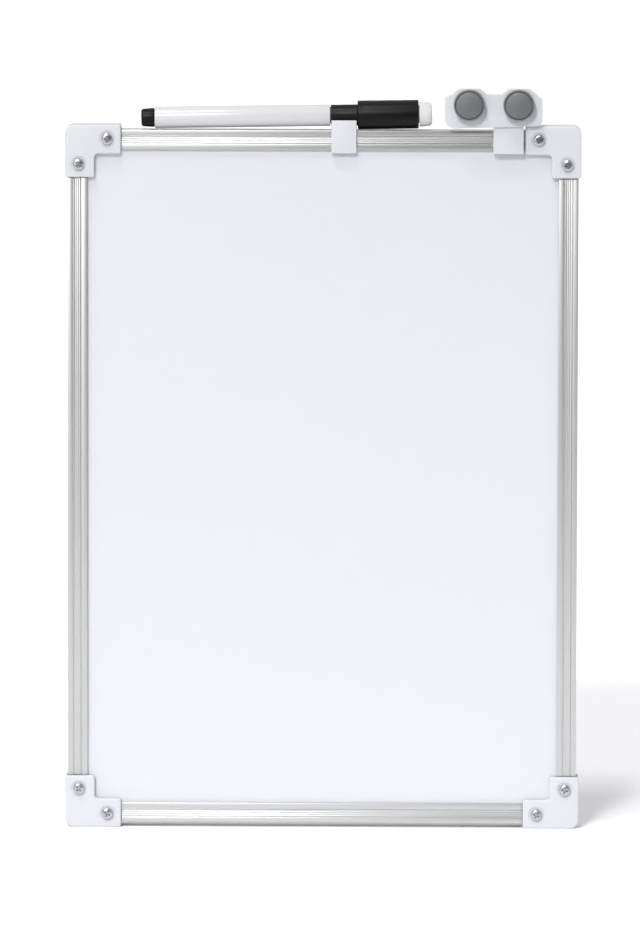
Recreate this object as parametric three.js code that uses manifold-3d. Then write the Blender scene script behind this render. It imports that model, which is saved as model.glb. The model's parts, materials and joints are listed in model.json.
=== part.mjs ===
// Small framed magnetic dry-erase board with a capped marker in a clip and two round magnets in a holder.
// Millimetres, +Z up. The board stands on its bottom edge, its writing surface faces -Y, and the origin is
// under the middle of the whole object's box.
import * as THREE from "three";
import { mergeVertices } from "three/addons/utils/BufferGeometryUtils.js";
import Module from "manifold-3d";

const wasm = await Module();
wasm.setup();

// Driving dimensions of the board
const boardWidth = 210;
const boardHeight = 288;
const fitGap = 0.3;
const slimGap = 0.1;
const edgeBreak = 0.2;

// Extruded aluminium rails
const railWidth = 8;
const railDepth = 9;
const railWall = 1.2;
const sideRailInset = 1.1;
const endRailInset = 2;
const grooveDepth = 0.3;
const grooveWidth = 0.3;
const ribBandStart = 2.35;
const ribBandEnd = 5.35;
const ribCount = 4;
const ribDepth = 0.18;

// Moulded corner caps
const capLengthX = 22.8;
const capLengthZ = 21.2;
const capLegWidthX = 12;
const capLegWidthZ = 11.7;
const capDepth = 12;
const capOuterRadius = 3.5;
const capInnerRadius = 1.6;
const capEndRadius = 0.9;

// Pan-head screws
const screwAlongX = 17.2;
const screwAlongZ = 15.9;
const screwInset = 5.6;
const screwHeadRadius = 2.35;
const screwHeadHeight = 1.3;
const screwShankRadius = 1.1;
const screwLength = 7.6;
const screwHoleRadius = 1.45;

// Writing sheet, core and backing
const sheetThickness = 0.5;
const backingThickness = 0.6;

// Marker, measured along its own axis from the end plug's tip
const plugLength = 5.5;
const plugTipRadius = 2.9;
const plugRadius = 3.9;
const barrelEnd = 76.8;
const capMouth = 77.1;
const capNeckEnd = 88;
const capHeadEnd = 112.8;
const eraserEnd = 118.3;
const barrelRadius = 4.4;
const neckRadius = 4.3;
const headRadius = 5.85;
const eraserRadius = 5.1;
const markerTipX = -74;
const markerRestGap = 0.35;

// Marker clip
const clipStartX = 3.4;
const clipWidth = 10.2;
const clipWall = 1.2;
const clipArmRise = 4.1;

// Saddles of the clip and the magnet holder, which snap over the top rail
const saddleDrop = 9.3;
const barbReach = 0.8;
const barbRise = 1;
const barbUndercut = 0.3;

// Magnet holder and magnets
const lugStartX = 69.2;
const lugWidth = 12.3;
const lugWall = 2.6;
const backLegWall = 1.2;
const bridgeHeight = 2.2;
const lugTopDrop = 2;
const plateThickness = 2.2;
const plateBackY = -6.6;
const magnetXs = [59.4, 79.5];
const magnetRise = 10.9;
const magnetRadius = 6.35;
const magnetDepth = 4.2;
const plateTopRise = 17.5;
const padTopHalf = 4.4;
const padFootHalf = 7;
const padHeight = 2.3;

// Worked out from the driving dimensions
const railFrontY = -railDepth / 2;
const railTopZ = boardHeight - endRailInset;
const sideRailX = boardWidth / 2 - sideRailInset;
const sideRailInnerX = sideRailX - railWidth;
const capFrontY = -capDepth / 2;
const plateFrontY = plateBackY - plateThickness;
const magnetBackY = plateFrontY - fitGap;
const magnetFrontY = magnetBackY - magnetDepth;
const magnetZ = railTopZ + magnetRise;
const clipOuterY = railDepth / 2 + fitGap + clipWall;
const depthCentreY = (magnetFrontY + clipOuterY) / 2;

const board = new THREE.Group();
board.position.y = -depthCentreY;

// ---------------------------------------------------------------- materials

const finishes = {
  anodised_aluminium: { color: 0xc9cacc, roughness: 0.35, metalness: 1 },
  coated_steel: { color: 0xf4f5f8, roughness: 0.18, metalness: 0 },
  fibreboard: { color: 0x9a7650, roughness: 0.9, metalness: 0 },
  backing_card: { color: 0xb9babc, roughness: 0.85, metalness: 0 },
  white_plastic: { color: 0xf0f1f3, roughness: 0.4, metalness: 0 },
  screw_steel: { color: 0xb8b9bb, roughness: 0.25, metalness: 1 },
  barrel_plastic: { color: 0xf3f3f4, roughness: 0.2, metalness: 0 },
  black_plastic: { color: 0x1d1d1e, roughness: 0.35, metalness: 0 },
  ink_felt: { color: 0x26262a, roughness: 0.95, metalness: 0 },
  eraser_felt: { color: 0xe2e2e2, roughness: 0.95, metalness: 0 },
  grey_plastic: { color: 0x77787a, roughness: 0.45, metalness: 0 },
  steel_disc: { color: 0x8d8e90, roughness: 0.5, metalness: 1 },
  ferrite: { color: 0x3c3c3e, roughness: 0.7, metalness: 0 },
};

function addPiece(parent, name, geometry, finish) {
  const mesh = new THREE.Mesh(geometry, new THREE.MeshStandardMaterial(finishes[finish]));
  mesh.name = name;
  parent.add(mesh);
  return mesh;
}

// ---------------------------------------------------------------- shape helpers

// Closed outline through corners [x, y, radius], each rounded by an arc tangent to both sides.
function roundedShape(corners) {
  const shape = new THREE.Shape();
  const count = corners.length;
  corners.forEach(([x, y, radius], index) => {
    const corner = new THREE.Vector2(x, y);
    const previous = new THREE.Vector2(...corners[(index + count - 1) % count]);
    const next = new THREE.Vector2(...corners[(index + 1) % count]);
    const back = previous.sub(corner).normalize();
    const ahead = next.sub(corner).normalize();
    const halfAngle = Math.acos(back.dot(ahead)) / 2;
    const start = corner.clone().addScaledVector(back, radius / Math.tan(halfAngle));
    if (index === 0) {
      shape.moveTo(start.x, start.y);
    } else {
      shape.lineTo(start.x, start.y);
    }
    if (radius > 0) {
      const inward = back.clone().add(ahead).normalize();
      const centre = corner.clone().addScaledVector(inward, radius / Math.sin(halfAngle));
      const end = corner.clone().addScaledVector(ahead, radius / Math.tan(halfAngle));
      const startAngle = Math.atan2(start.y - centre.y, start.x - centre.x);
      const endAngle = Math.atan2(end.y - centre.y, end.x - centre.x);
      const clockwise = back.cross(ahead) > 0;
      shape.absarc(centre.x, centre.y, radius, startAngle, endAngle, clockwise);
    }
  });
  return shape;
}

function sharpShape(points) {
  return new THREE.Shape(points.map(([x, y]) => new THREE.Vector2(x, y)));
}

// Prisms along one axis; the outline is given in the two other axes, in X, Y, Z order.
function prismZ(shape, startZ, endZ) {
  const settings = { depth: endZ - startZ, bevelEnabled: false, curveSegments: 3 };
  return new THREE.ExtrudeGeometry(shape, settings).translate(0, 0, startZ);
}

function prismY(shape, startY, endY) {
  return prismZ(shape, -endY, -startY).rotateX(Math.PI / 2);
}

// The outline of a prism along X is drawn as [y, z] points.
function prismX(points, startX, endX) {
  const upright = points.map(([y, z]) => [-z, y]);
  return prismZ(sharpShape(upright), startX, endX).rotateY(Math.PI / 2);
}

function block([startX, endX], [startY, endY], [startZ, endZ]) {
  const box = new THREE.BoxGeometry(endX - startX, endY - startY, endZ - startZ);
  return box.translate((startX + endX) / 2, (startY + endY) / 2, (startZ + endZ) / 2);
}

// Rod along Y, round about (x, z).
function rodY(radius, startY, endY, x, z, segments = 20) {
  const rod = new THREE.CylinderGeometry(radius, radius, endY - startY, segments);
  return rod.translate(x, (startY + endY) / 2, z);
}

// Solid of revolution: points are [radius, station], ordered so that the faces point out.
function turned(points, segments = 32) {
  return new THREE.LatheGeometry(points.map(([radius, at]) => new THREE.Vector2(radius, at)), segments);
}

function toSolid(geometry) {
  const bare = geometry.clone();
  bare.deleteAttribute("normal");
  bare.deleteAttribute("uv");
  const merged = mergeVertices(bare, 1e-4);
  const vertProperties = new Float32Array(merged.attributes.position.array);
  const triVerts = new Uint32Array(merged.index.array);
  return new wasm.Manifold(new wasm.Mesh({ numProp: 3, vertProperties, triVerts }));
}

function toGeometry(solid) {
  const mesh = solid.getMesh();
  const geometry = new THREE.BufferGeometry();
  geometry.setAttribute("position", new THREE.BufferAttribute(mesh.vertProperties, 3));
  geometry.setIndex(new THREE.BufferAttribute(mesh.triVerts, 1));
  return geometry.toNonIndexed();
}

function cut(geometry, ...tools) {
  return toGeometry(tools.reduce((solid, tool) => solid.subtract(toSolid(tool)), toSolid(geometry)));
}

function join(geometry, ...additions) {
  return toGeometry(additions.reduce((solid, piece) => solid.add(toSolid(piece)), toSolid(geometry)));
}

// ---------------------------------------------------------------- screw places

// One entry per corner: its name, its signs in X and Z (-1 low, 1 high), and its two screws.
const corners = [
  ["top_left", -1, 1],
  ["top_right", 1, 1],
  ["bottom_left", -1, -1],
  ["bottom_right", 1, -1],
].map(([name, signX, signZ]) => {
  const placeX = (inset) => signX * (boardWidth / 2 - inset);
  const placeZ = (inset) => (signZ > 0 ? boardHeight - inset : inset);
  const endRailScrew = { x: placeX(screwAlongX), z: placeZ(screwInset) };
  const sideRailScrew = { x: placeX(screwInset), z: placeZ(screwAlongZ) };
  return { name, signX, signZ, placeX, placeZ, endRailScrew, sideRailScrew };
});
const allScrews = corners.flatMap((corner) => [corner.endRailScrew, corner.sideRailScrew]);

function screwHoles(screws, startY, endY) {
  return screws.map(({ x, z }) => rodY(screwHoleRadius, startY, endY, x, z, 16));
}

// ---------------------------------------------------------------- rails

// C-shaped section, open towards the board: [distance in from the outer edge, y].
// The front face carries a smooth band on each side of a fine-ribbed middle band.
function railSection() {
  const front = railFrontY;
  const back = railDepth / 2;
  const pitch = (ribBandEnd - ribBandStart) / ribCount;
  const points = [[0, back], [0, front], [ribBandStart - grooveWidth, front]];
  points.push([ribBandStart - grooveWidth, front + grooveDepth], [ribBandStart, front + grooveDepth]);
  for (let rib = 0; rib < ribCount; rib += 1) {
    const start = ribBandStart + rib * pitch;
    points.push([start, front + ribDepth], [start + pitch / 2, front + slimGap / 2]);
  }
  points.push([ribBandEnd, front + ribDepth], [ribBandEnd, front + grooveDepth]);
  points.push([ribBandEnd + grooveWidth, front + grooveDepth], [ribBandEnd + grooveWidth, front]);
  points.push([railWidth, front], [railWidth, front + railWall]);
  points.push([railWall, front + railWall], [railWall, back - railWall]);
  points.push([railWidth, back - railWall], [railWidth, back]);
  return points;
}

function sideRail(signX) {
  const points = railSection().map(([inward, y]) => [signX * (sideRailX - inward), y]);
  const rail = prismZ(sharpShape(points), endRailInset, railTopZ);
  const screws = corners.filter((corner) => corner.signX === signX).map((corner) => corner.sideRailScrew);
  return cut(rail, ...screwHoles(screws, railFrontY - 1, 0));
}

function endRail(signZ) {
  const outerZ = signZ > 0 ? railTopZ : endRailInset;
  const points = railSection().map(([inward, y]) => [y, outerZ - signZ * inward]);
  const halfLength = sideRailInnerX - fitGap;
  const rail = prismX(points, -halfLength, halfLength);
  const screws = corners.filter((corner) => corner.signZ === signZ).map((corner) => corner.endRailScrew);
  return cut(rail, ...screwHoles(screws, railFrontY - 1, 0));
}

addPiece(board, "rail_left", sideRail(-1), "anodised_aluminium");
addPiece(board, "rail_right", sideRail(1), "anodised_aluminium");
addPiece(board, "rail_top", endRail(1), "anodised_aluminium");
addPiece(board, "rail_bottom", endRail(-1), "anodised_aluminium");

// ---------------------------------------------------------------- writing sheet, core and backing

const edgeGap = 0.5;
const sheetX = sideRailX - railWall - edgeGap;
const sheetLowZ = endRailInset + railWall + edgeGap;
const sheetHighZ = boardHeight - sheetLowZ;
const channelFrontY = railFrontY + railWall;
const channelBackY = railDepth / 2 - railWall;

const sheetFrontY = channelFrontY + fitGap;
const sheetBackY = sheetFrontY + sheetThickness;
const backingBackY = channelBackY - fitGap;
const backingFrontY = backingBackY - backingThickness;
const coreFrontY = sheetBackY + fitGap;
const coreBackY = backingFrontY - fitGap;

function panel(startY, endY) {
  return block([-sheetX, sheetX], [startY, endY], [sheetLowZ, sheetHighZ]);
}

const writingSheet = cut(panel(sheetFrontY, sheetBackY), ...screwHoles(allScrews, sheetFrontY - 1, 0));
const coreBoard = cut(panel(coreFrontY, coreBackY), ...screwHoles(allScrews, coreFrontY - 1, coreBackY + 1));
addPiece(board, "writing_sheet", writingSheet, "coated_steel");
addPiece(board, "core_board", coreBoard, "fibreboard");
addPiece(board, "backing_sheet", panel(backingFrontY, backingBackY), "backing_card");

// ---------------------------------------------------------------- corner caps

// An L-shaped shell: its front and back walls lie over the rails and its outer walls close the corner.
function cornerCap({ signX, signZ, placeX, placeZ, endRailScrew, sideRailScrew }) {
  const outline = roundedShape([
    [placeX(0), placeZ(0), capOuterRadius],
    [placeX(capLengthX), placeZ(0), capEndRadius],
    [placeX(capLengthX), placeZ(capLegWidthZ), capEndRadius],
    [placeX(capLegWidthX), placeZ(capLegWidthZ), capInnerRadius],
    [placeX(capLegWidthX), placeZ(capLengthZ), capEndRadius],
    [placeX(0), placeZ(capLengthZ), capEndRadius],
  ]);
  const pastCap = Math.max(capLengthX, capLengthZ) + 1;
  const span = (low, high) => [Math.min(low, high), Math.max(low, high)];
  const pocketX = (end) => span(placeX(sideRailInset - fitGap), placeX(end));
  const pocketZ = (end) => span(placeZ(endRailInset - fitGap), placeZ(end));
  const railY = [railFrontY - fitGap, railDepth / 2 + fitGap];
  const sheetY = [channelFrontY, channelBackY];
  return cut(
    prismY(outline, capFrontY, -capFrontY),
    block(pocketX(sideRailInset + railWidth + fitGap), railY, pocketZ(pastCap)),
    block(pocketX(pastCap), railY, pocketZ(endRailInset + railWidth + fitGap)),
    block(pocketX(pastCap), sheetY, pocketZ(pastCap)),
    ...screwHoles([endRailScrew, sideRailScrew], capFrontY - 1, 0),
  );
}

// Pan head with a cross recess, on a plain shank with a pointed tip, pointing along +Y.
function cornerScrew({ x, z }) {
  const faceY = capFrontY - slimGap;
  const crownRadius = 0.72 * screwHeadRadius;
  const crownHeight = 0.8 * screwHeadHeight;
  const pointLength = 1.2;
  const recessLength = 2.7;
  const recessWidth = 0.62;
  const recessDepth = 0.8;
  const body = turned([
    [0, -screwHeadHeight],
    [crownRadius, -screwHeadHeight],
    [0.92 * screwHeadRadius, -crownHeight],
    [screwHeadRadius, -0.4 * screwHeadHeight],
    [screwHeadRadius, 0],
    [screwShankRadius, 0],
    [screwShankRadius, screwLength - pointLength],
    [0, screwLength],
  ], 16).translate(x, faceY, z);
  const recessY = [faceY - screwHeadHeight - 1, faceY - screwHeadHeight + recessDepth];
  const along = [-recessLength / 2, recessLength / 2];
  const across = [-recessWidth / 2, recessWidth / 2];
  const level = block(along, recessY, across).translate(x, 0, z);
  const upright = block(across, recessY, along).translate(x, 0, z);
  return cut(body, level, upright);
}

for (const corner of corners) {
  addPiece(board, `corner_cap_${corner.name}`, cornerCap(corner), "white_plastic");
  addPiece(board, `screw_${corner.name}_end_rail`, cornerScrew(corner.endRailScrew), "screw_steel");
  addPiece(board, `screw_${corner.name}_side_rail`, cornerScrew(corner.sideRailScrew), "screw_steel");
}

// ---------------------------------------------------------------- marker

// The marker lies on the top rail on its tail's edge and on its wider cap, so it leans a little.
const headCentre = (capNeckEnd + capHeadEnd) / 2;
const markerTilt = Math.asin((headRadius - barrelRadius) / (headCentre - plugLength));
const markerTailZ = railTopZ + markerRestGap + barrelRadius;

const marker = new THREE.Group();
marker.rotation.y = -markerTilt;
marker.position.set(markerTipX, 0, markerTailZ - plugLength * Math.sin(markerTilt));
board.add(marker);

function addMarkerPiece(name, points, finish) {
  addPiece(marker, name, turned(points).rotateZ(-Math.PI / 2), finish);
}

const plugStemRadius = 3;
const plugStemEnd = 9.5;
addMarkerPiece("marker_end_plug", [
  [0, 0],
  [plugTipRadius, 0],
  [plugRadius - fitGap, plugRadius - plugTipRadius],
  [plugRadius, plugLength - slimGap],
  [plugStemRadius, plugLength - slimGap],
  [plugStemRadius, plugStemEnd],
  [0, plugStemEnd],
], "black_plastic");

const boreRadius = plugStemRadius + fitGap;
const spigotRadius = 3.3;
const spigotEnd = 80.5;
const spigotBore = 2.3;
const boreEnd = 73;
addMarkerPiece("marker_barrel", [
  [boreRadius, plugLength],
  [barrelRadius - edgeBreak, plugLength],
  [barrelRadius, plugLength + edgeBreak],
  [barrelRadius, barrelEnd - edgeBreak],
  [barrelRadius - edgeBreak, barrelEnd],
  [spigotRadius, barrelEnd],
  [spigotRadius, spigotEnd],
  [spigotBore, spigotEnd],
  [spigotBore, boreEnd],
  [boreRadius, boreEnd],
  [boreRadius, plugLength],
], "barrel_plastic");

const reservoirRadius = 2.8;
const reservoirEnd = 70;
addMarkerPiece("ink_reservoir", [
  [0, plugStemEnd + fitGap],
  [reservoirRadius, plugStemEnd + fitGap],
  [reservoirRadius, reservoirEnd],
  [0, reservoirEnd],
], "ink_felt");

const nibBore = 1.1;
const holderStart = 74;
const holderEnd = 87;
const holderStemRadius = 2;
const holderFlangeRadius = 2.9;
const holderTipRadius = 1.7;
addMarkerPiece("nib_holder", [
  [nibBore, holderStart],
  [holderStemRadius, holderStart],
  [holderStemRadius, spigotEnd + fitGap],
  [holderFlangeRadius, spigotEnd + fitGap],
  [holderFlangeRadius, spigotEnd + 2],
  [holderTipRadius, holderEnd],
  [nibBore, holderEnd],
  [nibBore, holderStart],
], "black_plastic");

const nibRadius = nibBore - fitGap;
const nibEnd = 90;
addMarkerPiece("nib", [
  [0, reservoirEnd + fitGap],
  [nibRadius, reservoirEnd + fitGap],
  [nibRadius, nibEnd - 1.4],
  [0.7 * nibRadius, nibEnd - 0.5],
  [0, nibEnd],
], "ink_felt");

const capBore = spigotRadius + 0.35;
const capBoreEnd = 98;
const eraserSocket = 109;
const eraserStemRadius = 3.6;
addMarkerPiece("marker_cap", [
  [0, capBoreEnd],
  [capBore, capBoreEnd],
  [capBore, capMouth],
  [neckRadius, capMouth],
  [neckRadius, capNeckEnd],
  [headRadius - edgeBreak, capNeckEnd],
  [headRadius, capNeckEnd + edgeBreak],
  [headRadius, capHeadEnd - edgeBreak],
  [headRadius - edgeBreak, capHeadEnd],
  [eraserStemRadius + fitGap, capHeadEnd],
  [eraserStemRadius + fitGap, eraserSocket],
  [0, eraserSocket],
], "black_plastic");

addMarkerPiece("felt_eraser", [
  [0, eraserSocket + fitGap],
  [eraserStemRadius, eraserSocket + fitGap],
  [eraserStemRadius, capHeadEnd + fitGap],
  [eraserRadius, capHeadEnd + fitGap],
  [eraserRadius - fitGap, eraserEnd - 1],
  [eraserRadius - 1, eraserEnd],
  [0, eraserEnd],
], "eraser_felt");

// ---------------------------------------------------------------- marker clip

// A saddle pushed down over the top rail, with a round cradle above it for the neck of the marker's cap.
function clipOutline() {
  const innerY = railDepth / 2 + fitGap;
  const footZ = railTopZ - saddleDrop;
  const armZ = railTopZ + clipArmRise;
  const clipMiddle = clipStartX + clipWidth / 2 - markerTipX;
  const cradleZ = marker.position.z + clipMiddle * Math.sin(markerTilt);
  const cradleRadius = neckRadius + 0.35;
  const sweep = Math.acos((cradleZ - armZ) / cradleRadius);
  const steps = 10;
  const points = [[-innerY + barbReach, footZ + barbUndercut], [-innerY, footZ + barbRise]];
  points.push([-innerY, railTopZ + fitGap], [innerY, railTopZ + fitGap]);
  points.push([innerY, footZ + barbRise], [innerY - barbReach, footZ + barbUndercut], [innerY, footZ]);
  points.push([clipOuterY, footZ], [clipOuterY, armZ]);
  for (let step = 0; step <= steps; step += 1) {
    const angle = sweep - (2 * sweep * step) / steps;
    points.push([cradleRadius * Math.sin(angle), cradleZ - cradleRadius * Math.cos(angle)]);
  }
  points.push([-clipOuterY, armZ], [-clipOuterY, footZ], [-innerY, footZ]);
  return points;
}

addPiece(board, "marker_clip", prismX(clipOutline(), clipStartX, clipStartX + clipWidth), "white_plastic");

// ---------------------------------------------------------------- magnet holder

const plateStartX = 49.4;
const plateEndX = 89.1;
const plateLowZ = railTopZ + 1;
const plateTopZ = railTopZ + plateTopRise;
const plateRiseRight = 1.3;
const keeperRadius = 5;
const keeperThickness = 0.6;
const keeperPocketDepth = keeperThickness + fitGap + slimGap;

// The plate rises to a flat-topped pad behind each magnet and slopes down to rounded ends.
function holderPlate() {
  const [leftX, rightX] = magnetXs;
  const footZ = plateTopZ - padHeight;
  const outline = roundedShape([
    [plateStartX, plateLowZ, 4.2],
    [plateEndX, plateLowZ + plateRiseRight, 2.6],
    [plateEndX, footZ - 2, 1.5],
    [rightX + padTopHalf, plateTopZ, 1.2],
    [rightX - padTopHalf, plateTopZ, 1.2],
    [rightX - padFootHalf, footZ, 1],
    [leftX + padFootHalf, footZ, 1],
    [leftX + padTopHalf, plateTopZ, 1.2],
    [leftX - padTopHalf, plateTopZ, 1.2],
    [leftX - padFootHalf, footZ, 1],
    [plateStartX, footZ - 1.2, 1.2],
  ]);
  return prismY(outline, plateFrontY, plateBackY);
}

// The saddle hooks over the top rail: a front lug, a bridge and a back leg, each with a small barb.
function holderSaddle() {
  const innerY = railDepth / 2 + fitGap;
  const footZ = railTopZ - saddleDrop;
  const bridgeTopZ = railTopZ + bridgeHeight;
  const lugTopZ = magnetZ - lugTopDrop;
  const lugFrontY = -innerY - lugWall;
  const legBackY = innerY + backLegWall;
  const points = [
    [lugFrontY, footZ],
    [-innerY, footZ],
    [-innerY + barbReach, footZ + barbUndercut],
    [-innerY, footZ + barbRise],
    [-innerY, railTopZ + fitGap],
    [innerY, railTopZ + fitGap],
    [innerY, footZ + barbRise],
    [innerY - barbReach, footZ + barbUndercut],
    [innerY, footZ],
    [legBackY, footZ],
    [legBackY, bridgeTopZ],
    [-innerY, bridgeTopZ],
    [-innerY, lugTopZ],
    [lugFrontY, lugTopZ],
  ];
  return prismX(points, lugStartX, lugStartX + lugWidth);
}

const keeperPockets = magnetXs.map((x) => {
  return rodY(keeperRadius + fitGap, plateFrontY - 1, plateFrontY + keeperPocketDepth, x, magnetZ, 32);
});
addPiece(board, "magnet_holder", cut(join(holderPlate(), holderSaddle()), ...keeperPockets), "white_plastic");

// ---------------------------------------------------------------- magnets

// Each magnet is a round housing with a steel disc let into its face and a ferrite disc let into its back,
// and it clings to a steel keeper disc let into the holder's plate.
const faceDiscRadius = 5.35;
const faceDiscThickness = 0.6;
const facePocketRadius = 5.8;
const facePocketDepth = 0.9;
const ferriteRadius = 5;
const ferriteThickness = 2.1;
const ferritePocketDepth = ferriteThickness + fitGap;

function addMagnet(side, x) {
  const housing = turned([
    [0, facePocketDepth],
    [facePocketRadius, facePocketDepth],
    [facePocketRadius, 0],
    [magnetRadius - edgeBreak, 0],
    [magnetRadius, edgeBreak],
    [magnetRadius, magnetDepth - edgeBreak],
    [magnetRadius - edgeBreak, magnetDepth],
    [ferriteRadius + fitGap, magnetDepth],
    [ferriteRadius + fitGap, magnetDepth - ferritePocketDepth],
    [0, magnetDepth - ferritePocketDepth],
  ], 48).translate(x, magnetFrontY, magnetZ);
  const faceY = magnetFrontY + slimGap / 2;
  const keeperY = plateFrontY + slimGap;
  const face = rodY(faceDiscRadius, faceY, faceY + faceDiscThickness, x, magnetZ, 48);
  const ferrite = rodY(ferriteRadius, magnetBackY - ferriteThickness, magnetBackY, x, magnetZ, 32);
  const keeper = rodY(keeperRadius, keeperY, keeperY + keeperThickness, x, magnetZ, 32);
  addPiece(board, `magnet_housing_${side}`, housing, "grey_plastic");
  addPiece(board, `magnet_face_disc_${side}`, face, "steel_disc");
  addPiece(board, `ferrite_disc_${side}`, ferrite, "ferrite");
  addPiece(board, `keeper_disc_${side}`, keeper, "steel_disc");
}

addMagnet("left", magnetXs[0]);
addMagnet("right", magnetXs[1]);

export default board;
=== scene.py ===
# A small framed magnetic dry-erase board, standing on its bottom corner caps, with a capped marker in a
# clip and two round magnets on a holder. Metres, +Z up; the writing surface faces -Y.
import json
from math import asin, cos, pi, radians, sin, sqrt, tan

import bmesh
import bpy
from mathutils import Matrix, Vector


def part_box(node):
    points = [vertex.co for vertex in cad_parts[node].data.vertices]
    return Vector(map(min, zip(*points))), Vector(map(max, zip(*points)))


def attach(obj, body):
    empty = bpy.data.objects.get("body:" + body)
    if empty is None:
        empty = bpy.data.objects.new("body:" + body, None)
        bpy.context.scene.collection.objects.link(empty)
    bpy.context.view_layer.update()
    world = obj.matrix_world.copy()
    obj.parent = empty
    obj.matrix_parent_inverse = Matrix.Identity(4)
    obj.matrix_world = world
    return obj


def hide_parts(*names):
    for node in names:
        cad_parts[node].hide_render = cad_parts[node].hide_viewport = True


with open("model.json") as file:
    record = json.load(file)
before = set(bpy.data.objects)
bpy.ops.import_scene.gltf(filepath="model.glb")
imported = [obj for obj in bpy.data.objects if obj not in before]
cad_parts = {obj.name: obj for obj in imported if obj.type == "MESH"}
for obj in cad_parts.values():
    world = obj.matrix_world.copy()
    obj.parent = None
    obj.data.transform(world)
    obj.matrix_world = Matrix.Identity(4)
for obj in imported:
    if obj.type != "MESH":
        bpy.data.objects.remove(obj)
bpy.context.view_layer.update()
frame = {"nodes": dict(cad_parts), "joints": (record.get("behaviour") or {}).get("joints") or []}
scene = bpy.context.scene
mm = 0.001


# ---------------------------------------------------------------- camera
# A long lens a little above the board, almost square on to it.
camera_azimuth = radians(0.85)
camera_elevation = radians(6.34)
camera_roll = radians(0.11)
camera_distance = 4.0
camera_target = Vector((-1.06 * mm, 3.65 * mm, 145.65 * mm))
frame_height = 385.85 * mm

towards_camera = Vector((
    sin(camera_azimuth) * cos(camera_elevation),
    -cos(camera_azimuth) * cos(camera_elevation),
    sin(camera_elevation),
))
camera_data = bpy.data.cameras.new("camera")
camera_data.sensor_width = 36
camera_data.lens = camera_data.sensor_width * camera_distance / frame_height
camera_data.clip_end = 100
camera = bpy.data.objects.new("camera", camera_data)
camera.location = camera_target + towards_camera * camera_distance
camera.rotation_mode = "QUATERNION"
aim = (-towards_camera).to_track_quat("-Z", "Y").to_matrix()
camera.rotation_quaternion = (aim @ Matrix.Rotation(camera_roll, 3, "Z")).to_quaternion()
scene.collection.objects.link(camera)
scene.camera = camera


# ---------------------------------------------------------------- rails
# Four lengths of extruded aluminium channel, clear anodised. Each has a smooth band along both edges of its
# front and a fine-ribbed band between them, and it grips the edge of the sheets in its open side.
rail_wall = 1.2 * mm
rib_band = (2.35 * mm, 5.35 * mm)
groove_width = 0.3 * mm
groove_depth = 0.3 * mm
rib_count = 4
rib_depth = 0.1 * mm
rib_crown_depth = 0.05 * mm
# Where the four corners of a rib lie, as shares of the pitch from one rib to the next.
rib_foot_start, rib_crown_start, rib_crown_end, rib_foot_end = 0.05, 0.15, 0.85, 0.95
rail_edge_radius = 0.14 * mm


def linear(code):
    """The linear RGBA colour of an sRGB hex code."""
    channels = [int(code[place:place + 2], 16) / 255 for place in (1, 3, 5)]
    return [c / 12.92 if c <= 0.04045 else ((c + 0.055) / 1.055) ** 2.4 for c in channels] + [1]


def add_node(material, kind, inputs, **settings):
    """Adds a node with its settings; each input takes a plain value or another node's output socket."""
    tree = material.node_tree
    node = tree.nodes.get(kind) or tree.nodes.new(kind)
    for setting, value in settings.items():
        setattr(node, setting, value)
    for socket, value in inputs.items():
        if isinstance(value, bpy.types.NodeSocket):
            tree.links.new(value, node.inputs[socket])
        else:
            node.inputs[socket].default_value = value
    return node


def new_material(name):
    """An empty material: its pattern nodes are added first and its Principled BSDF is set last."""
    material = bpy.data.materials.new(name)
    material.use_nodes = True
    return material


def size(millimetres):
    """The texture scale at which one feature of the pattern has this size."""
    return 1 / (millimetres * mm)


def outline_prism(points, offset):
    """A bmesh prism: the outline's corners make one face, which is extruded by the offset."""
    bm = bmesh.new()
    bm.faces.new([bm.verts.new(point) for point in points])
    made = bmesh.ops.extrude_face_region(bm, geom=bm.faces[:])["geom"]
    moved = [item for item in made if isinstance(item, bmesh.types.BMVert)]
    bmesh.ops.translate(bm, verts=moved, vec=offset)
    bmesh.ops.recalc_face_normals(bm, faces=bm.faces)
    return bm


def round_edges(bm, radius, segments=3, sharper_than=40, chosen=lambda edge: True):
    """Rounds the edges whose faces meet at more than an angle, in degrees."""
    edges = [edge for edge in bm.edges if len(edge.link_faces) == 2 and chosen(edge)]
    edges = [edge for edge in edges if edge.calc_face_angle() > radians(sharper_than)]
    bmesh.ops.bevel(
        bm, geom=edges, offset=radius, segments=segments, profile=0.5, affect="EDGES", material=-1,
        clamp_overlap=True,
    )


def make_piece(bm, name, body, slot, material, *stands_for):
    """Makes the object for a finished bmesh, riding on its body in place of its CAD nodes."""
    mesh = bpy.data.meshes.new(name)
    bm.to_mesh(mesh)
    bm.free()
    mesh.materials.append(material)
    mesh.shade_smooth()
    mesh.set_sharp_from_angle(angle=radians(32))
    piece = bpy.data.objects.new(name, mesh)
    scene.collection.objects.link(piece)
    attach(piece, body)
    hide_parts(*stands_for)
    return piece


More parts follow.
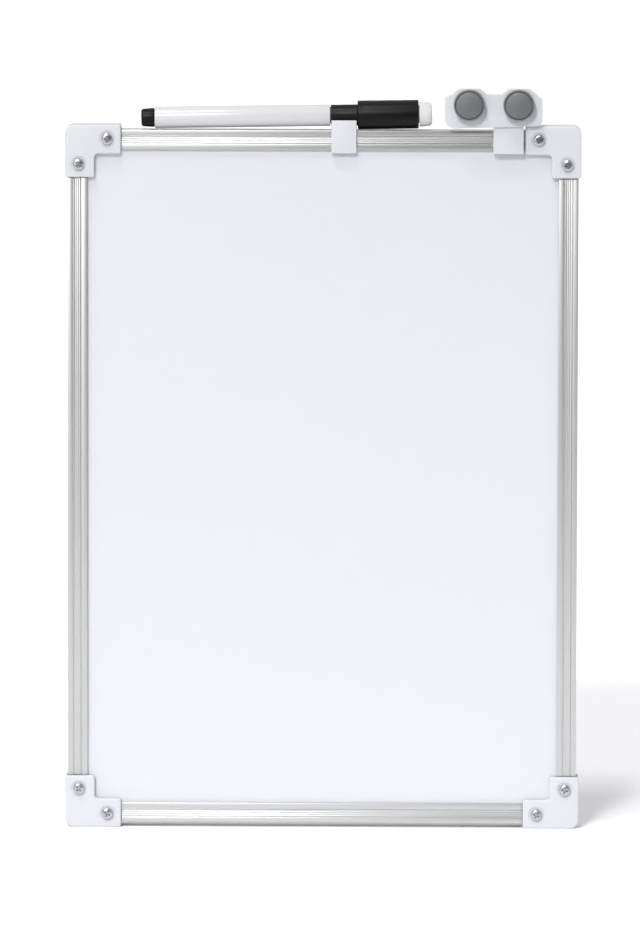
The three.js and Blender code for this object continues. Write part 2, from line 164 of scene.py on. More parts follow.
def anodised_aluminium(name, stretch):
    """Die lines run the whole length of the extrusion; anodising leaves them a fine, soft silver grain."""
    material = new_material(name)
    place_in = add_node(material, "ShaderNodeTexCoord", {})
    lines = add_node(
        material, "ShaderNodeMapping", {"Vector": place_in.outputs["Object"], "Scale": stretch},
    )
    # Real die lines are some 0.05 mm apart; they are drawn 0.3 mm apart so that they show.
    grain = add_node(
        material, "ShaderNodeTexNoise",
        {"Vector": lines.outputs["Vector"], "Scale": size(0.3), "Detail": 2},
    )
    tone = add_node(
        material, "ShaderNodeMapRange",
        {"Value": grain.outputs["Fac"], "From Min": 0.3, "From Max": 0.7, "To Min": 0.37, "To Max": 0.46},
    )
    shade = add_node(
        material, "ShaderNodeMix",
        {"Factor": grain.outputs["Fac"], 6: linear("#C3C3C3"), 7: linear("#D1D1D1")}, data_type="RGBA",
    )
    relief = add_node(
        material, "ShaderNodeBump",
        {"Height": grain.outputs["Fac"], "Strength": 0.15, "Distance": 0.01 * mm},
    )
    add_node(material, "Principled BSDF", {
        "Base Color": shade.outputs[2],
        "Metallic": 1,
        "Roughness": tone.outputs["Result"],
        "Normal": relief.outputs["Normal"],
    })
    return material


def rail_section(outer, inner, front, back):
    """The channel's outline as (across, depth) pairs, from the rail's outer edge to its inner edge."""
    towards = 1 if inner > outer else -1
    groove_floor = front + groove_depth
    across = [(0, back), (0, front), (rib_band[0] - groove_width, front)]
    across += [(rib_band[0] - groove_width, groove_floor), (rib_band[0], groove_floor)]
    pitch = (rib_band[1] - rib_band[0]) / rib_count
    for rib in range(rib_count):
        start = rib_band[0] + rib * pitch
        across.append((start + rib_foot_start * pitch, front + rib_depth))
        across.append((start + rib_crown_start * pitch, front + rib_crown_depth))
        across.append((start + rib_crown_end * pitch, front + rib_crown_depth))
        across.append((start + rib_foot_end * pitch, front + rib_depth))
    across += [(rib_band[1], groove_floor), (rib_band[1] + groove_width, groove_floor)]
    across += [(rib_band[1] + groove_width, front)]
    width = abs(inner - outer)
    across += [(width, front), (width, front + rail_wall), (rail_wall, front + rail_wall)]
    across += [(rail_wall, back - rail_wall), (width, back - rail_wall), (width, back)]
    return [(outer + towards * reach, depth) for reach, depth in across]


upright_aluminium = anodised_aluminium("anodised_aluminium_upright", (1, 1, 0.0004))
level_aluminium = anodised_aluminium("anodised_aluminium_level", (0.0004, 1, 1))
for side in ("left", "right"):
    low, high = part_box(f"rail_{side}")
    outer, inner = (low.x, high.x) if side == "left" else (high.x, low.x)
    section = rail_section(outer, inner, low.y, high.y)
    rail = outline_prism([(x, y, low.z) for x, y in section], (0, 0, high.z - low.z))
    round_edges(rail, rail_edge_radius, segments=2)
    make_piece(
        rail, f"channel_{side}", "board", "anodised_aluminium", upright_aluminium, f"rail_{side}",
    )
for side in ("top", "bottom"):
    low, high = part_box(f"rail_{side}")
    outer, inner = (high.z, low.z) if side == "top" else (low.z, high.z)
    section = rail_section(outer, inner, low.y, high.y)
    rail = outline_prism([(low.x, y, z) for z, y in section], (high.x - low.x, 0, 0))
    round_edges(rail, rail_edge_radius, segments=2)
    make_piece(
        rail, f"channel_{side}", "board", "anodised_aluminium", level_aluminium, f"rail_{side}",
    )


# ---------------------------------------------------------------- writing sheet
# Thin steel sheet with a baked white dry-erase coating, pushed into the rails' channels. The steel is what
# the magnets hold on, and the coating is smooth and glossy so that ink wipes off it.
def dry_erase_coating():
    """Baked lacquer: a hard white gloss with a very faint orange-peel waviness."""
    material = new_material("white_dry_erase_lacquer_on_steel")
    place_in = add_node(material, "ShaderNodeTexCoord", {})
    peel = add_node(
        material, "ShaderNodeTexNoise",
        {"Vector": place_in.outputs["Object"], "Scale": size(5), "Detail": 1},
    )
    relief = add_node(
        material, "ShaderNodeBump",
        {"Height": peel.outputs["Fac"], "Strength": 0.05, "Distance": 0.01 * mm},
    )
    wiped = add_node(
        material, "ShaderNodeMapRange",
        {"Value": peel.outputs["Fac"], "From Min": 0.3, "From Max": 0.7, "To Min": 0.3, "To Max": 0.32},
    )
    add_node(material, "Principled BSDF", {
        "Base Color": linear("#D1D2D7"),
        "Roughness": wiped.outputs["Result"],
        "IOR": 1.5,
        "Normal": relief.outputs["Normal"],
    })
    return material


frame["nodes"]["writing_sheet"].data.materials.clear()
frame["nodes"]["writing_sheet"].data.materials.append(dry_erase_coating())


# ---------------------------------------------------------------- core board
# A sheet of pressed wood fibre behind the steel: it keeps the sheet flat, and the corner screws bite into
# it.
def pressed_fibreboard():
    """Raw fibreboard: matt, brown and mottled by the felted fibres."""
    material = new_material("raw_fibreboard")
    place_in = add_node(material, "ShaderNodeTexCoord", {})
    fibre = add_node(
        material, "ShaderNodeTexNoise",
        {"Vector": place_in.outputs["Object"], "Scale": size(0.8), "Detail": 5},
    )
    shade = add_node(
        material, "ShaderNodeMix",
        {"Factor": fibre.outputs["Fac"], 6: linear("#7E5F3E"), 7: linear("#AD875C")}, data_type="RGBA",
    )
    relief = add_node(
        material, "ShaderNodeBump",
        {"Height": fibre.outputs["Fac"], "Strength": 0.5, "Distance": 0.1 * mm},
    )
    add_node(material, "Principled BSDF", {
        "Base Color": shade.outputs[2],
        "Roughness": 0.9,
        "Normal": relief.outputs["Normal"],
    })
    return material


frame["nodes"]["core_board"].data.materials.clear()
frame["nodes"]["core_board"].data.materials.append(pressed_fibreboard())


# ---------------------------------------------------------------- backing sheet
# Grey card laid on the back of the core, held by the back lips of the rails.
def grey_card():
    """Recycled card: matt grey with darker and lighter paper fibres pressed into it."""
    material = new_material("grey_backing_card")
    place_in = add_node(material, "ShaderNodeTexCoord", {})
    flecks = add_node(
        material, "ShaderNodeTexNoise",
        {"Vector": place_in.outputs["Object"], "Scale": size(0.6), "Detail": 6},
    )
    clouds = add_node(
        material, "ShaderNodeTexNoise",
        {"Vector": place_in.outputs["Object"], "Scale": size(14), "Detail": 3},
    )
    mottle = add_node(
        material, "ShaderNodeMath",
        {0: flecks.outputs["Fac"], 1: clouds.outputs["Fac"]}, operation="MULTIPLY",
    )
    contrast = add_node(
        material, "ShaderNodeMapRange",
        {"Value": mottle.outputs["Value"], "From Min": 0.12, "From Max": 0.4},
    )
    shade = add_node(
        material, "ShaderNodeMix",
        {"Factor": contrast.outputs["Result"], 6: linear("#A3A4A4"), 7: linear("#BDBDBB")},
        data_type="RGBA",
    )
    relief = add_node(
        material, "ShaderNodeBump",
        {"Height": flecks.outputs["Fac"], "Strength": 0.3, "Distance": 0.05 * mm},
    )
    add_node(material, "Principled BSDF", {
        "Base Color": shade.outputs[2],
        "Roughness": 0.85,
        "Normal": relief.outputs["Normal"],
    })
    return material


frame["nodes"]["backing_sheet"].data.materials.clear()
frame["nodes"]["backing_sheet"].data.materials.append(grey_card())


# ---------------------------------------------------------------- corner caps
# Four injection-moulded white plastic corners. Each is an L-shaped shell that slips over the ends of two
# rails and grips the edge of the sheets, and two screws through its front hold it.
cap_leg_x = 12 * mm
cap_leg_z = 11.7 * mm
cap_outer_radius = 3.5 * mm
cap_inner_radius = 1.6 * mm
cap_end_radius = 0.9 * mm
cap_rim_radius = 0.55 * mm
pocket_gap = 0.3 * mm
weld_distance = 0.002 * mm
screw_hole_radius = 1.45 * mm
screw_dish_radius = 3.2 * mm
screw_dish_depth = 0.22 * mm


def block(low, high):
    """A bmesh box between two corners, given in any order."""
    bm = bmesh.new()
    bmesh.ops.create_cube(bm, size=1)
    low, high = Vector(low), Vector(high)
    extent = Vector([abs(b - a) for a, b in zip(low, high)])
    bmesh.ops.transform(
        bm, matrix=Matrix.Translation((low + high) / 2) @ Matrix.Diagonal((*extent, 1)), verts=bm.verts,
    )
    return bm


def rod(radius, start, end, segments=32, end_radius=None):
    """A bmesh rod between two points; it tapers if it has an end radius."""
    bm = bmesh.new()
    start, end = Vector(start), Vector(end)
    turn = Vector((0, 0, 1)).rotation_difference(end - start).to_matrix().to_4x4()
    bmesh.ops.create_cone(
        bm, cap_ends=True, segments=segments, radius1=radius,
        radius2=radius if end_radius is None else end_radius, depth=(end - start).length,
        matrix=Matrix.Translation((start + end) / 2) @ turn,
    )
    return bm


def combine(bm, tools, operation):
    """Joins the tools to a bmesh, or cuts them from it, and frees them all."""
    def temporary(source):
        bmesh.ops.triangulate(source, faces=source.faces, ngon_method="EAR_CLIP")
        mesh = bpy.data.meshes.new("temporary")
        source.to_mesh(mesh)
        source.free()
        made = bpy.data.objects.new("temporary", mesh)
        scene.collection.objects.link(made)
        return made

    body = temporary(bm)
    others = [temporary(tool) for tool in tools]
    for other in others:
        change = body.modifiers.new("combine", "BOOLEAN")
        change.object = other
        change.operation = operation
        change.solver = "EXACT"
    evaluated = body.evaluated_get(bpy.context.evaluated_depsgraph_get())
    result = bmesh.new()
    result.from_mesh(evaluated.to_mesh())
    evaluated.to_mesh_clear()
    for made in (body, *others):
        bpy.data.objects.remove(made)
    bmesh.ops.remove_doubles(result, verts=result.verts, dist=weld_distance)
    bmesh.ops.dissolve_limit(
        result, angle_limit=radians(0.5), verts=result.verts, edges=result.edges,
    )
    return result


def moulded_white_plastic():
    """Injection-moulded ABS: satin white, with the fine even texture of a spark-eroded mould."""
    material = new_material("satin_white_abs")
    place_in = add_node(material, "ShaderNodeTexCoord", {})
    # The mould's texture is about 0.1 mm; it is drawn at 0.35 mm so that it shows.
    texture = add_node(
        material, "ShaderNodeTexNoise",
        {"Vector": place_in.outputs["Object"], "Scale": size(0.35), "Detail": 2},
    )
    flow = add_node(
        material, "ShaderNodeTexNoise",
        {"Vector": place_in.outputs["Object"], "Scale": size(9), "Detail": 2},
    )
    polish = add_node(
        material, "ShaderNodeMapRange",
        {"Value": flow.outputs["Fac"], "From Min": 0.3, "From Max": 0.7, "To Min": 0.34, "To Max": 0.44},
    )
    relief = add_node(
        material, "ShaderNodeBump",
        {"Height": texture.outputs["Fac"], "Strength": 0.18, "Distance": 0.03 * mm},
    )
    add_node(material, "Principled BSDF", {
        "Base Color": linear("#CBCCD0"),
        "Roughness": polish.outputs["Result"],
        "IOR": 1.53,
        "Subsurface Weight": 0.06,
        "Subsurface Radius": (1, 1, 1),
        "Subsurface Scale": 0.6 * mm,
        "Normal": relief.outputs["Normal"],
    })
    return material


def screw_centre(corner, rail):
    """The middle of a screw's head on the cap's front face."""
    low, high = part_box(f"screw_{corner}_{rail}_rail")
    return Vector(((low.x + high.x) / 2, low.y, (low.z + high.z) / 2))


white_abs = moulded_white_plastic()
corners = ("top_left", "top_right", "bottom_left", "bottom_right")
for corner in corners:
    low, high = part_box(f"corner_cap_{corner}")
    along = 1 if corner.endswith("left") else -1
    up = -1 if corner.startswith("top") else 1
    outer_x, end_x = (low.x, high.x) if along > 0 else (high.x, low.x)
    outer_z, end_z = (low.z, high.z) if up > 0 else (high.z, low.z)
    leg_x, leg_z = outer_x + along * cap_leg_x, outer_z + up * cap_leg_z
    cap = bmesh.new()
    outline = [(outer_x, outer_z), (end_x, outer_z), (end_x, leg_z), (leg_x, leg_z), (leg_x, end_z)]
    outline.append((outer_x, end_z))
    bends = [cap.verts.new((x, low.y, z)) for x, z in outline]
    cap.faces.new(bends)
    for chosen, radius in (
        ([bends[0]], cap_outer_radius), ([bends[3]], cap_inner_radius),
        ([bends[1], bends[2], bends[4], bends[5]], cap_end_radius),
    ):
        bmesh.ops.bevel(
            cap, geom=chosen, offset=radius, segments=8, profile=0.5, affect="VERTICES", material=-1,
        )
    made = bmesh.ops.extrude_face_region(cap, geom=cap.faces[:])["geom"]
    moved = [item for item in made if isinstance(item, bmesh.types.BMVert)]
    bmesh.ops.translate(cap, verts=moved, vec=(0, high.y - low.y, 0))
    bmesh.ops.recalc_face_normals(cap, faces=cap.faces)
    round_edges(cap, cap_rim_radius, segments=4)

    end_rail_low, end_rail_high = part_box(f"rail_{corner.split('_')[0]}")
    side_rail_low, side_rail_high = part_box(f"rail_{corner.split('_')[1]}")
    wall_x = (side_rail_low.x if along > 0 else side_rail_high.x) - along * pocket_gap
    wall_z = (end_rail_low.z if up > 0 else end_rail_high.z) - up * pocket_gap
    side_x = (side_rail_high.x if along > 0 else side_rail_low.x) + along * pocket_gap
    end_rail_z = (end_rail_high.z if up > 0 else end_rail_low.z) + up * pocket_gap
    past_x, past_z = end_x + along * mm, end_z + up * mm
    rail_front, rail_back = side_rail_low.y - pocket_gap, side_rail_high.y + pocket_gap
    sheet_front, sheet_back = side_rail_low.y + rail_wall, side_rail_high.y - rail_wall
    tools = [
        block((wall_x, rail_front, wall_z), (side_x, rail_back, past_z)),
        block((wall_x, rail_front, wall_z), (past_x, rail_back, end_rail_z)),
        block((wall_x, sheet_front, wall_z), (past_x, sheet_back, past_z)),
    ]
    for rail in ("end", "side"):
        centre = screw_centre(corner, rail)
        through = Vector((centre.x, rail_front + mm, centre.z))
        tools.append(rod(screw_hole_radius, centre, through))
        face = Vector((centre.x, low.y, centre.z))
        inwards = Vector((0, screw_dish_depth, 0))
        rim_radius = screw_dish_radius + screw_dish_depth
        floor_radius = screw_dish_radius - screw_dish_depth
        tools.append(rod(rim_radius, face - inwards, face + inwards, 64, floor_radius))
    cap = combine(cap, tools, "DIFFERENCE")
    make_piece(
        cap, f"moulded_corner_{corner}", "board", "white_plastic", white_abs, f"corner_cap_{corner}",
    )


# ---------------------------------------------------------------- corner screws
# Small self-tapping pan-head screws with a cross recess, nickel plated, one through each leg of each cap.
screw_head_radius = 2.35 * mm
screw_head_height = 1.3 * mm
screw_shank_radius = 1.1 * mm
crown_flatness = 0.45
recess_reach = 2 * mm
recess_width = 0.95 * mm
recess_depth = 1 * mm
screw_tip_length = 1.2 * mm
thread_pitch = 0.9 * mm
thread_height = 0.18 * mm
dome_steps = 7
# The head's straight rim, as a share of its height, and the angle each recess was left at, in degrees.
rim_share = 0.35
recess_turns = (3, 40, 15, 70, 30, 50, 28, 12)


def turned(profile, steps=48):
    """A bmesh solid of revolution about X from (station, radius) pairs."""
    bm = bmesh.new()
    points = [bm.verts.new((station, radius, 0)) for station, radius in profile]
    edges = [bm.edges.new(pair) for pair in zip(points, points[1:])]
    bmesh.ops.spin(
        bm, geom=points + edges, cent=(0, 0, 0), axis=(1, 0, 0), dvec=(0, 0, 0), angle=2 * pi,
        steps=steps, use_merge=True,
    )
    bmesh.ops.remove_doubles(bm, verts=bm.verts, dist=0.001 * mm)
    bmesh.ops.recalc_face_normals(bm, faces=bm.faces)
    return bm


def place(bm, origin, direction, turn=0):
    """Turns what was made along X to point in a direction, and moves it to its origin."""
    swing = Vector((1, 0, 0)).rotation_difference(Vector(direction)).to_matrix().to_4x4()
    matrix = Matrix.Translation(origin) @ swing @ Matrix.Rotation(turn, 4, "X")
    bmesh.ops.transform(bm, matrix=matrix, verts=bm.verts)
    return bm


def nickel_plate():
    """Barrel-plated steel: bright metal, slightly cloudy where the parts tumbled against each other."""
    material = new_material("bright_nickel_plate")
    place_in = add_node(material, "ShaderNodeTexCoord", {})
    knocks = add_node(
        material, "ShaderNodeTexNoise",
        {"Vector": place_in.outputs["Object"], "Scale": size(0.5), "Detail": 4},
    )
    cloud = add_node(
        material, "ShaderNodeMapRange",
        {"Value": knocks.outputs["Fac"], "From Min": 0.35, "From Max": 0.7, "To Min": 0.24, "To Max": 0.38},
    )
    relief = add_node(
        material, "ShaderNodeBump",
        {"Height": knocks.outputs["Fac"], "Strength": 0.25, "Distance": 0.04 * mm},
    )
    add_node(material, "Principled BSDF", {
        "Base Color": linear("#BEBEC0"),
        "Metallic": 1,
        "Roughness": cloud.outputs["Result"],
        "Normal": relief.outputs["Normal"],
    })
    return material


def corner_screw(length):
    """A screw along +X, with the crown of its head at zero."""
    rim = rim_share * screw_head_height
    profile = []
    for step in range(dome_steps + 1):
        angle = pi / 2 * step / dome_steps
        station = (screw_head_height - rim) * (1 - cos(angle))
        profile.append((station, screw_head_radius * sin(angle) ** crown_flatness))
    profile += [(screw_head_height, screw_head_radius), (screw_head_height, screw_shank_radius)]
    root_radius = screw_shank_radius - thread_height
    station = screw_head_height + thread_pitch
    while station < length - screw_tip_length - thread_pitch / 2:
        profile += [(station, root_radius), (station + thread_pitch / 2, screw_shank_radius)]
        station += thread_pitch
    profile += [(length - screw_tip_length, root_radius), (length, 0)]
    screw = turned(profile, steps=32)
    wings = []
    for turn in (0, pi / 2):
        wing = bmesh.new()
        bmesh.ops.create_cone(
            wing, cap_ends=True, segments=4, radius1=recess_width / sqrt(2), radius2=0.25 * recess_width,
            depth=2 * recess_depth, matrix=Matrix.Rotation(pi / 4, 4, "Z"),
        )
        bmesh.ops.scale(wing, vec=(2 * recess_reach / recess_width, 1, 1), verts=wing.verts)
        swing = Matrix.Rotation(pi / 2, 3, "Y") @ Matrix.Rotation(turn, 3, "Z")
        bmesh.ops.rotate(wing, cent=(0, 0, 0), matrix=swing, verts=wing.verts)
        wings.append(wing)
    return combine(screw, wings, "DIFFERENCE")


nickel = nickel_plate()
screw_names = [(corner, rail) for corner in corners for rail in ("end", "side")]
for (corner, rail), recess_turn in zip(screw_names, recess_turns):
    low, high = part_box(f"screw_{corner}_{rail}_rail")
    screw = corner_screw(high.y - low.y)
    place(screw, screw_centre(corner, rail), (0, 1, 0), radians(recess_turn))
    make_piece(
        screw, f"pan_screw_{corner}_{rail}", "board", "screw_steel", nickel, f"screw_{corner}_{rail}_rail",
    )


# ---------------------------------------------------------------- marker clip
# A moulded white saddle snapped over the top rail. Small barbs hold it under the rail's lips, and the round
# cradle above takes the neck of the marker's cap, which lifts straight out.
clip_wall = 1.2 * mm
clip_barb = 0.8 * mm
saddle_corner_radius = 0.9 * mm
saddle_edge_radius = 0.28 * mm
cradle_radius = 4.65 * mm
cradle_steps = 20


def saddle_section(low, high, rail_high, wall_front, wall_back):
    """Outline round the rail, as (y, z) pairs, from the front foot under the rail to the back foot."""
    front, back = low.y + wall_front, high.y - wall_back
    return [
        (front, low.z), (front + clip_barb, low.z + pocket_gap), (front, low.z + mm),
        (front, rail_high.z + pocket_gap), (back, rail_high.z + pocket_gap),
        (back, low.z + mm), (back - clip_barb, low.z + pocket_gap), (back, low.z),
    ]


low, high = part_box("marker_clip")
rail_low, rail_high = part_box("rail_top")
pull_axis = next(joint["axis"] for joint in frame["joints"] if joint["name"] == "marker_pull")
marker_axis = -Vector(pull_axis).normalized()
reservoir_low, reservoir_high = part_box("ink_reservoir")
marker_middle = (reservoir_low + reservoir_high) / 2
clip_middle = (low + high) / 2
reach = (clip_middle.x - marker_middle.x) / marker_axis.x
cradle_centre = marker_middle + marker_axis * reach
sweep = asin(min(1, sqrt(max(0, 1 - ((cradle_centre.z - high.z) / cradle_radius) ** 2))))
section = saddle_section(low, high, rail_high, clip_wall, clip_wall)
section += [(high.y, low.z), (high.y, high.z)]
for step in range(cradle_steps + 1):
    angle = sweep - 2 * sweep * step / cradle_steps
    y, z = cradle_centre.y + cradle_radius * sin(angle), cradle_centre.z - cradle_radius * cos(angle)
    section.append((y, z))
section += [(low.y, high.z), (low.y, low.z)]
clip = outline_prism([(low.x, y, z) for y, z in section], (high.x - low.x, 0, 0))


def round_saddle(bm):
    """Rounds a saddle's four foot corners and the edges round its front and back faces."""
    def at(axis, level):
        return lambda edge: all(abs(vertex.co[axis] - level) < 0.01 * mm for vertex in edge.verts)

    front, back = min(vertex.co.y for vertex in bm.verts), max(vertex.co.y for vertex in bm.verts)
    foot = min(vertex.co.z for vertex in bm.verts)
    along_x = [vertex.co.x for vertex in bm.verts]
    at_left, at_right, at_foot = at(0, min(along_x)), at(0, max(along_x)), at(2, foot)
    round_edges(
        bm, saddle_corner_radius, segments=5,
        chosen=lambda edge: at_foot(edge) and (at_left(edge) or at_right(edge)),
    )
    round_edges(
        bm, saddle_edge_radius, segments=3, chosen=lambda edge: at(1, front)(edge) or at(1, back)(edge),
    )


round_saddle(clip)
make_piece(clip, "rail_saddle_for_marker", "clip", "white_plastic", white_abs, "marker_clip")


# ---------------------------------------------------------------- marker barrel
# An extruded tube of glossy white polypropylene, open at the tail for the end plug and stepped down at the
# front, where the cap pushes on.
tail_to_middle = 39.9 * mm
# Stations along the marker and its radii are in millimetres; the stations are measured from its tail.
barrel_start, barrel_end, spigot_end = 5.5, 76.8, 80.5
barrel_radius, spigot_radius = 4.4, 3.3
bore_radius, holder_bore_radius, bore_end = 3.3, 2.3, 73
marker_tail = marker_middle - marker_axis * tail_to_middle


def glossy_white_tube():
    """Extruded polypropylene: bright, glossy and faintly drawn along its length."""
    material = new_material("glossy_white_polypropylene")
    place_in = add_node(material, "ShaderNodeTexCoord", {})
    along_tube = add_node(
        material, "ShaderNodeMapping", {"Vector": place_in.outputs["Object"], "Scale": (0.03, 1, 1)},
    )
    drawn = add_node(
        material, "ShaderNodeTexNoise",
        {"Vector": along_tube.outputs["Vector"], "Scale": size(0.7), "Detail": 2},
    )
    gloss = add_node(
        material, "ShaderNodeMapRange",
        {"Value": drawn.outputs["Fac"], "From Min": 0.3, "From Max": 0.7, "To Min": 0.12, "To Max": 0.2},
    )
    relief = add_node(
        material, "ShaderNodeBump",
        {"Height": drawn.outputs["Fac"], "Strength": 0.12, "Distance": 0.02 * mm},
    )
    add_node(material, "Principled BSDF", {
        "Base Color": linear("#CACACC"),
        "Roughness": gloss.outputs["Result"],
        "IOR": 1.49,
        "Subsurface Weight": 0.08,
        "Subsurface Radius": (1, 1, 1),
        "Subsurface Scale": 0.8 * mm,
        "Normal": relief.outputs["Normal"],
    })
    return material


def marker_piece(profile, name, body, slot, material, node, edge_radius=0.2 * mm, steps=64):
    """A turned piece of the marker, from (station, radius) pairs in millimetres."""
    piece = turned([(station * mm, radius * mm) for station, radius in profile], steps)
    round_edges(piece, edge_radius, segments=3, sharper_than=35)
    place(piece, marker_tail, marker_axis)
    return make_piece(piece, name, body, slot, material, node)


marker_piece([
    (barrel_start, bore_radius), (barrel_start, barrel_radius), (barrel_end, barrel_radius),
    (barrel_end, spigot_radius), (spigot_end, spigot_radius), (spigot_end, holder_bore_radius),
    (bore_end, holder_bore_radius), (bore_end, bore_radius), (barrel_start, bore_radius),
], "white_barrel_tube", "marker", "barrel_plastic", glossy_white_tube(), "marker_barrel")


# ---------------------------------------------------------------- marker end plug
# A moulded black polypropylene plug pressed into the tail of the barrel; its tip is slightly tapered.
plug_tip_end, plug_head_end, plug_end = 0.5, 5.35, 9.5
plug_face_radius, plug_tip_radius, plug_head_radius, plug_stem_radius = 2.9, 3.6, 3.9, 3


def black_polypropylene():
    """Moulded polypropylene: near black with a soft satin gloss and faint flow marks."""
    material = new_material("satin_black_polypropylene")
    place_in = add_node(material, "ShaderNodeTexCoord", {})
    flow = add_node(
        material, "ShaderNodeTexNoise",
        {"Vector": place_in.outputs["Object"], "Scale": size(3), "Detail": 4},
    )
    satin = add_node(
        material, "ShaderNodeMapRange",
        {"Value": flow.outputs["Fac"], "From Min": 0.3, "From Max": 0.7, "To Min": 0.36, "To Max": 0.46},
    )
    relief = add_node(
        material, "ShaderNodeBump",
        {"Height": flow.outputs["Fac"], "Strength": 0.15, "Distance": 0.05 * mm},
    )
    add_node(material, "Principled BSDF", {
        "Base Color": linear("#080809"),
        "Roughness": satin.outputs["Result"],
        "Specular IOR Level": 0.2,
        "IOR": 1.49,
        "Normal": relief.outputs["Normal"],
    })
    return material


black_plastic = black_polypropylene()
marker_piece([
    (0, 0), (0, plug_face_radius), (plug_tip_end, plug_tip_radius), (plug_head_end, plug_head_radius),
    (plug_head_end, plug_stem_radius), (plug_end, plug_stem_radius), (plug_end, 0),
], "black_tail_plug", "marker", "black_plastic", black_plastic, "marker_end_plug", edge_radius=0.35 * mm)


# ---------------------------------------------------------------- ink reservoir, nib holder and nib
# The ink sits in a rod of bonded fibre inside the barrel. A moulded holder, pressed into the barrel's
# spigot, grips the hard felt nib, and the nib's back end dips into the rod.
rod_start, rod_end, rod_radius = 9.8, 70, 2.8
holder_start, flange_start, flange_end, holder_end = 74, 80.8, 82.5, 87
holder_radius, flange_radius, holder_tip_radius, nib_hole_radius = 2, 2.9, 1.7, 1.1
nib_start, nib_radius = 70.3, 0.8
nib_tip = [(88.6, 0.8), (89.5, 0.55), (89.9, 0.25), (90, 0)]


def inked_fibre():
    """Bonded polyester fibre soaked with black ink: dark, matt and slightly stringy."""
    material = new_material("ink_soaked_fibre")
    place_in = add_node(material, "ShaderNodeTexCoord", {})
    along_rod = add_node(
        material, "ShaderNodeMapping", {"Vector": place_in.outputs["Object"], "Scale": (0.1, 1, 1)},
    )
    fibre = add_node(
        material, "ShaderNodeTexNoise",
        {"Vector": along_rod.outputs["Vector"], "Scale": size(0.15), "Detail": 3},
    )
    shade = add_node(
        material, "ShaderNodeMix",
        {"Factor": fibre.outputs["Fac"], 6: linear("#121216"), 7: linear("#2C2C32")}, data_type="RGBA",
    )
    relief = add_node(
        material, "ShaderNodeBump",
        {"Height": fibre.outputs["Fac"], "Strength": 0.6, "Distance": 0.05 * mm},
    )
    add_node(material, "Principled BSDF", {
        "Base Color": shade.outputs[2],
        "Roughness": 0.9,
        "Sheen Weight": 0.2,
        "Normal": relief.outputs["Normal"],
    })
    return material


ink_fibre = inked_fibre()
marker_piece(
    [(rod_start, 0), (rod_start, rod_radius), (rod_end, rod_radius), (rod_end, 0)],
    "fibre_ink_rod", "marker", "ink_felt", ink_fibre, "ink_reservoir",
)
marker_piece([
    (holder_start, nib_hole_radius), (holder_start, holder_radius), (flange_start, holder_radius),
    (flange_start, flange_radius), (flange_end, flange_radius), (holder_end, holder_tip_radius),
    (holder_end, nib_hole_radius), (holder_start, nib_hole_radius),
], "moulded_nib_holder", "marker", "black_plastic", black_plastic, "nib_holder", edge_radius=0.15 * mm)
marker_piece(
    [(nib_start, 0), (nib_start, nib_radius), *nib_tip],
    "felt_nib", "marker", "ink_felt", ink_fibre, "nib", edge_radius=0.1 * mm,
)


# ---------------------------------------------------------------- marker cap
# A moulded black cap: the narrow neck grips the barrel's spigot and lies in the clip's cradle, and the
# wider head holds the eraser.
cap_mouth, head_start, head_end = 77.1, 88, 112.8
neck_radius, head_radius, head_chamfer = 4.3, 5.85, 0.3
cap_bore_radius, cap_bore_end = 3.65, 98
eraser_socket_radius, eraser_socket_floor = 3.9, 109

marker_piece([
    (cap_bore_end, 0), (cap_bore_end, cap_bore_radius), (cap_mouth, cap_bore_radius),
    (cap_mouth, neck_radius), (head_start, neck_radius), (head_start, head_radius - head_chamfer),
    (head_start + head_chamfer, head_radius), (head_end - head_chamfer, head_radius),
    (head_end, head_radius - head_chamfer),
    (head_end, eraser_socket_radius), (eraser_socket_floor, eraser_socket_radius), (eraser_socket_floor, 0),
], "black_marker_cap", "cap", "black_plastic", black_plastic, "marker_cap", edge_radius=0.22 * mm, steps=96)


# ---------------------------------------------------------------- felt eraser
# A plug of pressed off-white felt glued into the end of the cap; its free end is slightly tapered and its
# edges are rounded by wear.
felt_foot, felt_shoulder, felt_end = 109.3, 113.1, 118.3
felt_stem_radius = 3.6
# The wiper's worn outline, as distances past its shoulder and radii.
felt_radii = [(0, 5), (1.4, 5.05), (2.9, 4.95), (4.2, 4.75), (4.9, 4.2), (5.2, 3.3)]


def pressed_felt():
    """Pressed wool felt: matt and warm white, with a short tangled nap that catches light at the edge."""
    material = new_material("pressed_white_felt")
    place_in = add_node(material, "ShaderNodeTexCoord", {})
    # The fibres are some 0.02 mm thick; the tangle is drawn at 0.3 mm so that it shows.
    tangle = add_node(
        material, "ShaderNodeTexNoise",
        {"Vector": place_in.outputs["Object"], "Scale": size(0.3), "Detail": 5, "Distortion": 0.8},
    )
    shade = add_node(
        material, "ShaderNodeMix",
        {"Factor": tangle.outputs["Fac"], 6: linear("#BDBDBE"), 7: linear("#DDDDDD")}, data_type="RGBA",
    )
    relief = add_node(
        material, "ShaderNodeBump",
        {"Height": tangle.outputs["Fac"], "Strength": 0.7, "Distance": 0.12 * mm},
    )
    add_node(material, "Principled BSDF", {
        "Base Color": shade.outputs[2],
        "Roughness": 0.95,
        "Sheen Weight": 0.35,
        "Sheen Roughness": 0.5,
        "Normal": relief.outputs["Normal"],
    })
    return material


marker_piece([
    (felt_foot, 0), (felt_foot, felt_stem_radius), (felt_shoulder, felt_stem_radius),
    *[(felt_shoulder + along, radius) for along, radius in felt_radii], (felt_end, 0),
], "felt_wiper", "cap", "eraser_felt", pressed_felt(), "felt_eraser", edge_radius=0.15 * mm)


